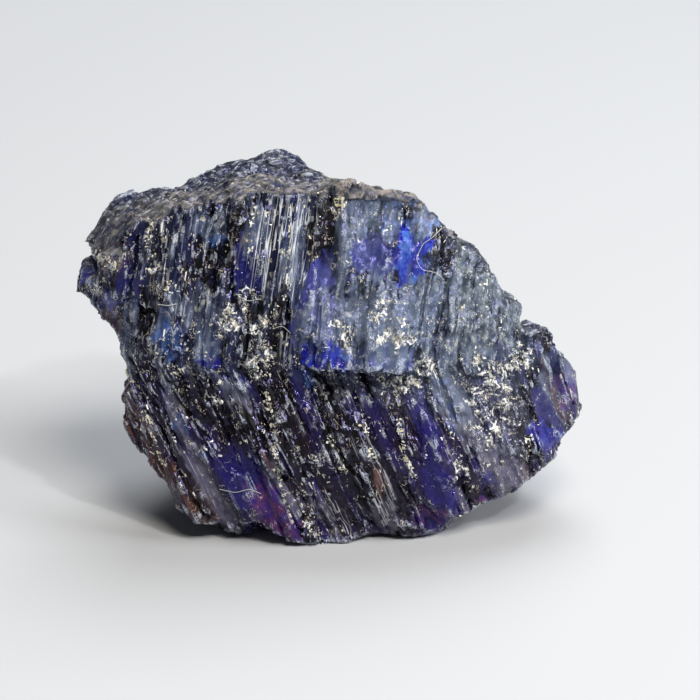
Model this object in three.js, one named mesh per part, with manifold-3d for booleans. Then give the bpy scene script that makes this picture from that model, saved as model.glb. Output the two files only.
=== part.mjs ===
// Rough tanzanite crystal: one broken piece of blue-violet zoisite, built as one closed solid.
// Millimetres, +Z up. X runs along the stone, -Y is its ribbed front, and it rests on the plane Z = 0.
//
// The body is lofted through cross-sections along X. Rails give the edges that run the length of the
// stone, and each section is the closed polygon through all the rails at its X. Broken columns, which
// follow the crystal's c axis, are joined to that body, and the resting facet is cut flat.

import * as THREE from 'three';
import { ConvexGeometry } from 'three/addons/geometries/ConvexGeometry.js';
import { mergeVertices } from 'three/addons/utils/BufferGeometryUtils.js';
import Module from 'manifold-3d';

// ---- driving dimensions

const LEFT_END = -8.05;          // X of the left tip
const RIGHT_END = 8.05;          // X of the right tip
const STATION_COUNT = 52;        // number of gaps between the sections along X
const TIP_CROWDING = 0.7;        // 0 spaces the sections evenly, near 1 crowds them at the tips
const RING_STEP = 0.75;          // widest spacing of the points round a section
const TIP_RADIUS = 0.35;         // size of the blunt end at each tip
const TIP_START = 0.75 * Math.PI; // direction of the first rail as seen from a tip
const CHIP_DEPTH = 0.06;         // how far a body point is moved off its rail surface at most
const FLOOR_CUT = 30;            // sides of the block that cuts the resting facet, wider than the stone
const MERGE_DISTANCE = 1e-4;     // corners nearer than this become one

// The c axis of the crystal, along which the ribs and columns run. The upper block leans a little to
// the left on its way down, and the lower block leans to the right.
const UPPER_LEAN = 0.13;
const LOWER_LEAN = -0.38;
const BREAK_HEIGHT = 5.7;        // height of the break between the two blocks
const SIDE_TURN = 0.45;          // how much the ribs follow round to the ends
const RIBS = [
  { width: 1.25, length: 3.4, deep: 0.26 },
  { width: 0.55, length: 1.9, deep: 0.14 },
];

// Broken columns are irregular prisms.
const COLUMN_SIDES = 6;
const COLUMN_TURN = 0.3;         // radians from +X to the first corner
const CORNER_DRIFT = 0.35;       // how far a corner strays round the column, as a share of one side
const CORNER_SPREAD = 0.08;      // how much the corners differ in reach, as a share of the width
const END_SLANT = 0.28;          // how far an end slopes, as a share of the width
const END_TAPER = 0.16;          // the most that an end narrows, as a share of the width

// Each use of the repeatable random numbers has a key of its own.
const KEY = {
  chip: 1, drift: 2, spread: 3, topSlant: 4, footSlant: 5, topTaper: 6, footTaper: 7, cut: 8, rib: 9,
};
const KEY_WAVES = [127.1, 311.7, 74.7];
const KEY_STRETCH = 43758.5453;

const STONE_BLUE = '#232a5e';
const STONE_ROUGHNESS = 0.35;

// ---- rails, each from the left tip to the right tip as [x, y, z], in order round the section

const TOP_CREST = [
  [-8.05, -0.6, 8.1], [-7.5, -1.2, 9.2], [-7.1, -1.6, 9.8], [-6.2, -1.9, 10.4], [-4.7, -1.8, 10.9],
  [-2.5, -1.5, 11.2], [-0.3, -1.4, 11.3], [0.4, -1.0, 11.5], [1.3, -0.8, 11.2], [2.2, -0.8, 11.1],
  [3.2, -0.9, 10.6], [3.6, -1.1, 10.0], [4.2, -1.2, 9.7], [4.8, -1.2, 8.8], [5.3, -1.2, 8.0],
  [5.8, -1.0, 7.5], [6.2, -0.9, 6.4], [6.7, -0.8, 6.6], [7.2, -0.7, 5.7], [7.9, -0.4, 4.8],
  [8.05, -0.2, 4.0],
];

const TOP_MIDDLE = [
  [-8.05, -0.2, 8.1], [-7.5, 0.0, 9.2], [-6.9, 0.2, 9.9], [-4.7, 0.5, 10.4], [-2.4, 1.0, 10.9],
  [-0.4, 1.1, 10.8], [0.6, 0.7, 10.7], [2.2, 0.7, 10.3], [3.6, 0.5, 9.1], [5.3, 0.4, 7.1],
  [6.6, 0.3, 5.8], [8.05, 0.0, 4.1],
];

const TOP_BACK = [
  [-8.05, 0.0, 8.0], [-7.7, 0.6, 9.2], [-7.3, 1.2, 9.6], [-7.0, 1.8, 9.9], [-4.7, 2.6, 10.1],
  [-3.2, 3.3, 10.6], [-1.5, 3.6, 10.9], [-1.0, 3.5, 10.9], [-0.2, 2.6, 10.3], [0.4, 2.4, 9.8],
  [1.4, 2.3, 9.5], [3.4, 2.0, 8.4], [5.4, 1.7, 6.3], [6.8, 1.2, 5.2], [8.05, 0.2, 3.9],
];

const BACK_UPPER = [
  [-8.05, 0.1, 7.7], [-6.8, 2.4, 8.2], [-4.4, 3.9, 8.2], [-1.6, 4.8, 8.5], [0.8, 4.5, 8.0],
  [3.3, 3.6, 6.9], [5.6, 2.6, 5.6], [7.2, 1.5, 4.7], [8.05, 0.3, 3.8],
];

const BACK_LOWER = [
  [-8.05, 0.1, 7.5], [-6.7, 2.1, 5.7], [-4.6, 3.8, 4.9], [-1.4, 5.1, 4.7], [1.8, 4.9, 4.1],
  [4.4, 3.7, 3.7], [6.4, 2.4, 3.4], [8.05, 0.3, 3.6],
];

const BASE_BACK = [
  [-8.05, 0.0, 7.4], [-6.9, 0.9, 5.9], [-6.3, 1.3, 3.6], [-5.2, 1.9, 2.0], [-3.9, 2.7, 0.0],
  [-1.0, 3.5, -0.4], [2.4, 3.3, -0.4], [4.3, 2.4, 0.1], [5.6, 1.9, 1.2], [7.3, 1.1, 2.4],
  [8.05, 0.1, 3.5],
];

const BASE_FRONT = [
  [-8.05, -0.3, 7.5], [-7.0, -0.5, 6.2], [-6.5, -0.7, 4.6], [-5.9, -0.9, 2.5], [-5.0, -1.2, 1.1],
  [-4.2, -0.7, 0.1], [-3.6, -1.6, -0.4], [-3.0, -1.8, -0.4], [-2.2, -1.1, -0.4], [-1.6, -1.3, -0.4],
  [-1.2, -2.3, -0.4], [0.3, -2.4, -0.4], [1.0, -2.0, -0.4], [2.0, -2.2, -0.4], [3.5, -1.3, -0.4],
  [4.2, -0.8, 0.2], [5.6, -0.6, 1.1], [6.8, -0.5, 2.0], [7.6, -0.4, 2.9], [8.05, -0.2, 3.6],
];

const FRONT_FOOT = [
  [-8.05, -0.6, 7.9], [-7.8, -0.8, 7.5], [-7.0, -1.4, 6.4], [-6.7, -1.6, 5.8], [-6.5, -1.9, 4.4],
  [-6.4, -2.1, 3.0], [-5.5, -2.5, 2.1], [-4.7, -3.0, 1.0], [-3.8, -3.3, 0.7], [-3.2, -3.4, 0.4],
  [-2.2, -3.3, 0.8], [-1.3, -3.4, 0.25], [0.3, -3.4, 0.15], [1.1, -3.3, 0.35], [2.1, -3.2, 0.25],
  [3.5, -2.9, 0.4], [4.6, -2.5, 0.9], [5.6, -2.2, 1.2], [6.4, -1.9, 1.8], [7.2, -1.4, 2.6],
  [7.6, -1.2, 3.1], [8.05, -0.4, 3.7],
];

const FRONT_LOWER = [
  [-8.05, -0.7, 7.9], [-7.0, -1.5, 6.7], [-6.4, -2.2, 4.4], [-5.8, -2.6, 3.4], [-4.2, -3.3, 3.2],
  [-2.6, -3.6, 3.2], [0.2, -3.7, 3.3], [1.8, -3.8, 3.3], [3.4, -3.5, 3.3], [4.7, -3.1, 3.1],
  [6.0, -2.4, 2.9], [7.1, -1.6, 3.0], [8.05, -0.5, 3.7],
];

const STEP_FOOT = [
  [-8.05, -0.7, 8.0], [-7.0, -1.6, 7.0], [-6.2, -2.2, 5.9], [-4.2, -2.9, 5.6], [-1.2, -3.0, 5.6],
  [-0.2, -3.0, 5.6], [1.8, -3.1, 5.6], [2.6, -3.0, 5.5], [4.7, -2.4, 5.0], [6.0, -1.9, 4.6],
  [7.2, -1.2, 4.2], [8.05, -0.5, 3.8],
];

const STEP_EDGE = [
  [-8.05, -0.7, 8.0], [-7.0, -1.8, 7.3], [-5.5, -2.7, 6.6], [-4.2, -3.0, 6.2], [-1.2, -3.1, 6.1],
  [-0.2, -3.7, 6.0], [1.8, -3.8, 6.0], [2.6, -3.2, 6.0], [3.4, -2.9, 5.9], [4.7, -2.4, 5.7],
  [6.0, -1.9, 5.2], [7.2, -1.1, 4.7], [8.05, -0.5, 3.9],
];

const FRONT_UPPER = [
  [-8.05, -0.7, 8.1], [-7.4, -1.7, 8.0], [-6.6, -2.3, 8.4], [-4.2, -2.5, 8.7], [-2.6, -2.3, 8.7],
  [-0.4, -2.3, 8.7], [0.5, -2.5, 8.7], [1.9, -2.4, 8.6], [3.0, -2.1, 8.3], [3.7, -2.3, 7.8],
  [4.7, -1.9, 7.3], [5.6, -1.7, 6.4], [6.4, -1.5, 5.6], [7.3, -1.0, 5.0], [8.05, -0.4, 3.9],
];

const RAILS = [
  TOP_CREST, TOP_MIDDLE, TOP_BACK, BACK_UPPER, BACK_LOWER, BASE_BACK,
  BASE_FRONT, FRONT_FOOT, FRONT_LOWER, STEP_FOOT, STEP_EDGE, FRONT_UPPER,
];

// ---- broken columns and knobs joined to the body: middle of the column, width, depth and height

const COLUMNS = [
  // worn knobs of the left tip, and the lobe below it
  { x: -7.4, y: 0.6, z: 8.85, width: 0.5, depth: 0.9, height: 0.8 },
  { x: -7.0, y: 1.3, z: 9.25, width: 0.6, depth: 0.9, height: 0.9 },
  { x: -6.15, y: -1.5, z: 3.2, width: 0.7, depth: 1.5, height: 1.0 },
  // hump at the back of the top face
  { x: -1.75, y: 2.9, z: 9.8, width: 1.2, depth: 1.5, height: 1.9 },
  { x: -3.0, y: 2.3, z: 9.5, width: 1.9, depth: 2.0, height: 1.9 },
  // upper front
  { x: -5.6, y: -1.6, z: 6.8, width: 1.1, depth: 1.8, height: 2.8 },
  { x: -3.1, y: -1.1, z: 8.6, width: 1.5, depth: 1.9, height: 3.8 },
  // right flank, down to the right tip
  { x: 3.85, y: -0.9, z: 7.4, width: 1.3, depth: 1.8, height: 3.4 },
  { x: 5.5, y: -0.7, z: 6.3, width: 0.9, depth: 1.4, height: 1.7 },
  { x: 6.6, y: -0.6, z: 5.6, width: 0.8, depth: 1.4, height: 1.5 },
  { x: 7.3, y: -0.3, z: 4.5, width: 0.8, depth: 1.3, height: 1.7 },
  { x: 6.5, y: -1.0, z: 3.3, width: 0.9, depth: 1.2, height: 2.0 },
  // lower front
  { x: -4.9, y: -1.75, z: 3.1, width: 1.5, depth: 1.9, height: 3.2 },
  { x: -0.9, y: -2.3, z: 2.9, width: 1.7, depth: 2.2, height: 4.0 },
  { x: 3.3, y: -2.1, z: 2.7, width: 1.6, depth: 2.1, height: 3.2 },
  // back
  { x: -4.7, y: 2.5, z: 6.8, width: 1.8, depth: 2.3, height: 4.4 },
  { x: -1.6, y: 3.7, z: 5.4, width: 2.0, depth: 2.5, height: 5.0 },
  { x: 1.2, y: 3.6, z: 5.2, width: 1.9, depth: 2.4, height: 4.6 },
  { x: 4.5, y: 2.5, z: 4.6, width: 1.7, depth: 2.3, height: 3.2 },
];

// ---- helpers

// A repeatable number from 0 to 1 for any three whole numbers, the last of which is a key.
function chance(...numbers) {
  const mixed = numbers.reduce((sum, number, i) => sum + number * KEY_WAVES[i], 0);
  const wave = Math.sin(mixed) * KEY_STRETCH;
  return wave - Math.floor(wave);
}

// The point of a rail at a given X, on the straight stretch between its two nearest points.
function railPoint(rail, x) {
  let next = rail.findIndex((point) => point[0] >= x);
  next = Math.max(next === -1 ? rail.length - 1 : next, 1);
  const [x0, y0, z0] = rail[next - 1];
  const [x1, y1, z1] = rail[next];
  const share = THREE.MathUtils.clamp((x - x0) / (x1 - x0), 0, 1);
  return new THREE.Vector2(THREE.MathUtils.lerp(y0, y1, share), THREE.MathUtils.lerp(z0, z1, share));
}

// Where the sections stand along X: closer together towards the tips, where the outline is steep.
function stations() {
  const xs = [];
  const crowd = (TIP_CROWDING * Math.PI) / 2;
  for (let s = 0; s <= STATION_COUNT; s += 1) {
    const swing = Math.sin(crowd * ((2 * s) / STATION_COUNT - 1)) / Math.sin(crowd);
    xs.push(THREE.MathUtils.mapLinear(swing, -1, 1, LEFT_END, RIGHT_END));
  }
  return xs;
}

// How many pieces each side of a section is cut into, the same at every station.
function ringParts() {
  const widest = RAILS.map(() => 0);
  for (const x of stations()) {
    RAILS.forEach((rail, i) => {
      const here = railPoint(rail, x);
      const there = railPoint(RAILS[(i + 1) % RAILS.length], x);
      widest[i] = Math.max(widest[i], here.distanceTo(there));
    });
  }
  return widest.map((width) => Math.max(1, Math.round(width / RING_STEP)));
}

// One closed section at X, as points in the YZ plane.
function section(x, parts) {
  const ring = [];
  RAILS.forEach((rail, i) => {
    const here = railPoint(rail, x);
    const there = railPoint(RAILS[(i + 1) % RAILS.length], x);
    for (let k = 0; k < parts[i]; k += 1) {
      ring.push(here.clone().lerp(there, k / parts[i]));
    }
  });
  return ring;
}

// How far the surface stands out or lies in at a point, because the crystal breaks away in parallel ribs
// along its c axis. Each rib is cut across into lengths of its own, and each length has a depth of its own.
function ribDepth(x, y, z) {
  const lean = z > BREAK_HEIGHT ? UPPER_LEAN : LOWER_LEAN;
  const across = x - lean * (z - BREAK_HEIGHT) + SIDE_TURN * y;
  return RIBS.reduce((depth, { width, length, deep }, layer) => {
    const rib = Math.floor(across / width);
    const part = Math.floor(z / length + chance(rib, layer, KEY.cut));
    return depth + deep * (chance(rib, part, KEY.rib + layer) - 0.5);
  }, 0);
}

// A small ring round the middle of a tip, so that every rail ends at a place of its own.
function tipRing(middle, size) {
  const ring = [];
  for (let k = 0; k < size; k += 1) {
    const angle = TIP_START - (2 * Math.PI * k) / size;
    const offset = new THREE.Vector2(Math.cos(angle), Math.sin(angle)).multiplyScalar(TIP_RADIUS);
    ring.push(offset.add(middle));
  }
  return ring;
}

// The lofted body, as rings of points along X with a fan over each end.
function bodyGeometry() {
  const parts = ringParts();
  const xs = stations();
  const size = parts.reduce((sum, count) => sum + count, 0);
  const last = xs.length - 1;
  const positions = [];
  const faces = [];
  xs.forEach((x, s) => {
    const ring = section(x, parts);
    const middle = ring.reduce((sum, point) => sum.add(point), new THREE.Vector2()).divideScalar(size);
    const placed = s === 0 || s === last ? tipRing(middle, size) : ring.map((point, k) => {
      const outward = point.clone().sub(middle).normalize();
      const chip = (2 * chance(s, k, KEY.chip) - 1) * CHIP_DEPTH;
      return point.clone().addScaledVector(outward, chip + ribDepth(x, point.x, point.y));
    });
    placed.forEach((point) => positions.push(x, point.x, point.y));
  });
  for (let s = 0; s < last; s += 1) {
    for (let k = 0; k < size; k += 1) {
      const a = s * size + k;
      const b = s * size + ((k + 1) % size);
      faces.push(a, a + size, b, b, a + size, b + size);
    }
  }
  for (let k = 1; k < size - 1; k += 1) {
    const end = last * size;
    faces.push(0, k, k + 1);
    faces.push(end, end + k + 1, end + k);
  }
  const geometry = new THREE.BufferGeometry();
  geometry.setAttribute('position', new THREE.Float32BufferAttribute(positions, 3));
  geometry.setIndex(faces);
  return geometry;
}

// One broken column: a prism with slanted ends, leaning along the crystal's c axis.
function columnGeometry({ x, y, z, width, depth, height }, index) {
  const lean = z > BREAK_HEIGHT ? UPPER_LEAN : LOWER_LEAN;
  const ends = [
    { side: -0.5, slantKey: KEY.footSlant, taperKey: KEY.footTaper },
    { side: 0.5, slantKey: KEY.topSlant, taperKey: KEY.topTaper },
  ];
  const points = [];
  for (let corner = 0; corner < COLUMN_SIDES; corner += 1) {
    const drift = CORNER_DRIFT * (chance(index, corner, KEY.drift) - 0.5);
    const angle = COLUMN_TURN + ((corner + drift) * 2 * Math.PI) / COLUMN_SIDES;
    const reach = 0.5 + CORNER_SPREAD * (chance(index, corner, KEY.spread) - 0.5);
    for (const { side, slantKey, taperKey } of ends) {
      const dz = side * height + END_SLANT * width * (chance(index, corner, slantKey) - 0.5);
      const taper = 1 - END_TAPER * chance(index, COLUMN_SIDES, taperKey);
      points.push(new THREE.Vector3(
        x + Math.cos(angle) * reach * width * taper + lean * dz,
        y + Math.sin(angle) * reach * depth * taper,
        z + dz,
      ));
    }
  }
  return new ConvexGeometry(points);
}

function toSolid(wasm, geometry) {
  geometry.deleteAttribute('normal');
  geometry.deleteAttribute('uv');
  const merged = mergeVertices(geometry, MERGE_DISTANCE);
  const mesh = new wasm.Mesh({
    numProp: 3,
    vertProperties: new Float32Array(merged.attributes.position.array),
    triVerts: new Uint32Array(merged.index.array),
  });
  return new wasm.Manifold(mesh);
}

function toGeometry(solid) {
  const mesh = solid.getMesh();
  const geometry = new THREE.BufferGeometry();
  geometry.setAttribute('position', new THREE.BufferAttribute(new Float32Array(mesh.vertProperties), 3));
  geometry.setIndex(new THREE.BufferAttribute(new Uint32Array(mesh.triVerts), 1));
  return geometry;
}

// ---- the stone

const wasm = await Module();
wasm.setup();

// The body with its columns, cut flat below and moved so that the middle of its box is over the origin.
function crystalGeometry() {
  let solid = toSolid(wasm, bodyGeometry());
  COLUMNS.forEach((column, index) => {
    solid = solid.add(toSolid(wasm, columnGeometry(column, index)));
  });
  const floor = new THREE.BoxGeometry(FLOOR_CUT, FLOOR_CUT, FLOOR_CUT).translate(0, 0, -FLOOR_CUT / 2);
  const geometry = toGeometry(solid.subtract(toSolid(wasm, floor)));
  const box = new THREE.Box3().setFromBufferAttribute(geometry.attributes.position);
  const middle = box.getCenter(new THREE.Vector3());
  return geometry.translate(-middle.x, -middle.y, 0);
}

const crystal = new THREE.Mesh(
  crystalGeometry(),
  new THREE.MeshStandardMaterial({ color: STONE_BLUE, roughness: STONE_ROUGHNESS, metalness: 0 }),
);
crystal.name = 'tanzanite_crystal';

const stone = new THREE.Group();
stone.add(crystal);

export default stone;
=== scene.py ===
"""Rough tanzanite: the finish of one broken, ribbed, blue-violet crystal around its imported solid."""

import math
from functools import reduce
from types import SimpleNamespace

import bpy
import numpy as np
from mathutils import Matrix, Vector


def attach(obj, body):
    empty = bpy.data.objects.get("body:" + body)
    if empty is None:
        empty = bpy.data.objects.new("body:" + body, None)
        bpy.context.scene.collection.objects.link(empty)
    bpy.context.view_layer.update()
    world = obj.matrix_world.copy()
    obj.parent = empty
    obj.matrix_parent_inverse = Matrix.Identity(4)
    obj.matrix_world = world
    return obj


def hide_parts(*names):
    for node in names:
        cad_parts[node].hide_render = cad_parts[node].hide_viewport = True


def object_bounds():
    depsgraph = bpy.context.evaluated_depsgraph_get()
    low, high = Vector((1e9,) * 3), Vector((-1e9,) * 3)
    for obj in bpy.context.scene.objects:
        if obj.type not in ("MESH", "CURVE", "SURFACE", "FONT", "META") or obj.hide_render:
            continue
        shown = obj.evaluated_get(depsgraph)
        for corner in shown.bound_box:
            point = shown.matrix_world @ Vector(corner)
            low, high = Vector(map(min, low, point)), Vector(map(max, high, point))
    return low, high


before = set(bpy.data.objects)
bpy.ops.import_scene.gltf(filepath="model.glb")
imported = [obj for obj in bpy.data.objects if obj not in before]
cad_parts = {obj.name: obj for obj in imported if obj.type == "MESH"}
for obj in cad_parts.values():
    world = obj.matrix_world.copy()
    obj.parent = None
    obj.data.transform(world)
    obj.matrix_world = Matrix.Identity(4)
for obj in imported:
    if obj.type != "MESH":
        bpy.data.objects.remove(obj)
CAD_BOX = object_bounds()
NODE = "tanzanite_crystal"

# ---- sizes. The shape work is in millimetres in the frame's own axes, and MM turns it into metres.

MM = 0.001
ROUGH_SPACING = (0.09, 0.11, 0.15)   # mm, mesh for the blocks and columns: across, into and along the grain
SKIN_SPACING = (0.052, 0.068, 0.11)  # mm, mesh for the finished surface, finest across the ribs
SKIN_TRIANGLES = 196000     # kept where the surface bends most
SHARP_ANGLE = 30.0          # degrees between two faces that meet in a crisp edge
BOX_SPARE = 0.12            # mm that the skin may stand outside the solid's box
WEAR_ROUNDS = 20            # rounds of evening out on the worn knobs, each about one mesh spacing
BLOCK_SOFTENING = 6         # rounds of evening out before the blocks' broad normals are read
SKIN_SOFTENING = 4          # the same for the skin
HOLLOW_ROUNDS = 5           # the same for telling grooves from edges
HOLLOW_SPAN = 0.08          # mm from the sharpest edge to the deepest groove, as the finishes count them

# The crystal's c axis, along which it ribs and splits. Each lean is sideways run over height.
BREAK_HEIGHT = 5.9          # mm, height of the break between the upper and the lower block
UPPER_LEAN = 0.15
LOWER_LEAN_LEFT = -0.55
LOWER_LEAN_RIGHT = -0.34
BACKWARD_LEAN = 0.17
HALF_LENGTH = 8.05          # mm

UP = np.array([0.0, 0.0, 1.0])


# ---- repeatable noise

def chance(ids, salt):
    """Repeatable numbers from 0 to 1, one for each row of whole numbers."""
    mixed = np.full(len(ids), (salt * 2654435761 + 97) % 2**32, np.uint64)
    for column in np.asarray(ids, np.int64).T:
        mixed = (mixed ^ (column.astype(np.uint64) & np.uint64(0xFFFFFFFF))) * np.uint64(2246822519)
        mixed &= np.uint64(0xFFFFFFFF)
        mixed ^= mixed >> np.uint64(15)
        mixed = (mixed * np.uint64(3266489917)) & np.uint64(0xFFFFFFFF)
        mixed ^= mixed >> np.uint64(13)
    return mixed.astype(float) / 2**32


def smooth_step(low, high, values):
    """0 below low, 1 above high and a smooth ramp between them. Low may be the larger."""
    share = np.clip((values - low) / (high - low), 0, 1)
    return share * share * (3 - 2 * share)


def soft_noise(points, size, salt):
    """Smooth noise from -1 to 1 with lumps about the given size, which may differ by axis."""
    scaled = points / np.asarray(size, float)
    low = np.floor(scaled).astype(np.int64)
    share = scaled - low
    share = share * share * (3 - 2 * share)
    total = np.zeros(len(points))
    for corner in np.ndindex(*(2,) * points.shape[1]):
        weight = np.prod(np.where(corner, share, 1 - share), axis=1)
        total += weight * chance(low + corner, salt)
    return 2 * total - 1


def layered_noise(points, size, salt, layers=3):
    """Soft noise with finer and weaker layers on it."""
    total = np.zeros(len(points))
    for layer in range(layers):
        total += soft_noise(points, np.asarray(size, float) / 2**layer, salt + layer) / 2**layer
    return total / (2 - 2 ** (1 - layers))


def cells(points, size, salt):
    """Nearest and second-nearest distance to scattered seeds, with the nearest seed's id and place."""
    scaled = points / np.asarray(size, float)
    base = np.floor(scaled).astype(np.int64)
    count, axes = points.shape
    nearest = np.full(count, np.inf)
    second = np.full(count, np.inf)
    ids = np.zeros((count, axes), np.int64)
    seeds = np.zeros((count, axes))
    for step in np.ndindex(*(3,) * axes):
        cell = base + np.array(step) - 1
        jitter = np.stack([chance(cell, salt + axis) for axis in range(axes)], axis=1)
        seed = cell + jitter
        distance = np.linalg.norm(scaled - seed, axis=1)
        closer = distance < nearest
        second = np.where(closer, nearest, np.minimum(second, distance))
        nearest = np.where(closer, distance, nearest)
        ids[closer] = cell[closer]
        seeds[closer] = seed[closer]
    return nearest, second, ids, seeds * np.asarray(size, float)


# ---- where things are on the stone

def grain_lean(x, z):
    """Sideways run over height of the ribs, and how fast that changes along X."""
    change = (LOWER_LEAN_RIGHT - LOWER_LEAN_LEFT) / (2 * HALF_LENGTH)
    middle = (LOWER_LEAN_RIGHT + LOWER_LEAN_LEFT) / 2
    below = z <= BREAK_HEIGHT
    return np.where(below, middle + change * x, UPPER_LEAN), np.where(below, change, 0.0)


def grain_place(points):
    """Places measured across and along the crystal's c axis, so that ribs run along the third number."""
    x, y, z = points.T
    lean, _ = grain_lean(x, z)
    return np.stack([x - lean * (z - BREAK_HEIGHT), y - BACKWARD_LEAN * z, z], axis=1)


def plain_place(grain):
    """The way back from grain_place."""
    across, into, z = grain.T
    middle, change = grain_lean(np.zeros(len(z)), z)
    height = z - BREAK_HEIGHT
    return np.stack([(across + middle * height) / (1 - change * height), into + BACKWARD_LEAN * z, z], axis=1)


def along_grain(points, normals):
    """1 on faces that run along the grain, where ribs show, and 0 on ones that are broken across it."""
    lean, _ = grain_lean(points[:, 0], points[:, 2])
    axis = np.stack([lean, np.full(len(lean), BACKWARD_LEAN), np.ones(len(lean))], axis=1)
    axis /= np.linalg.norm(axis, axis=1)[:, None]
    return smooth_step(0.72, 0.42, np.abs(np.einsum("ij,ij->i", normals, axis)))


def end_share(normals):
    """1 on the left and right ends of the stone, and 0 on its front and back."""
    return smooth_step(0.62, 0.80, np.abs(normals[:, 0]))


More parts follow.
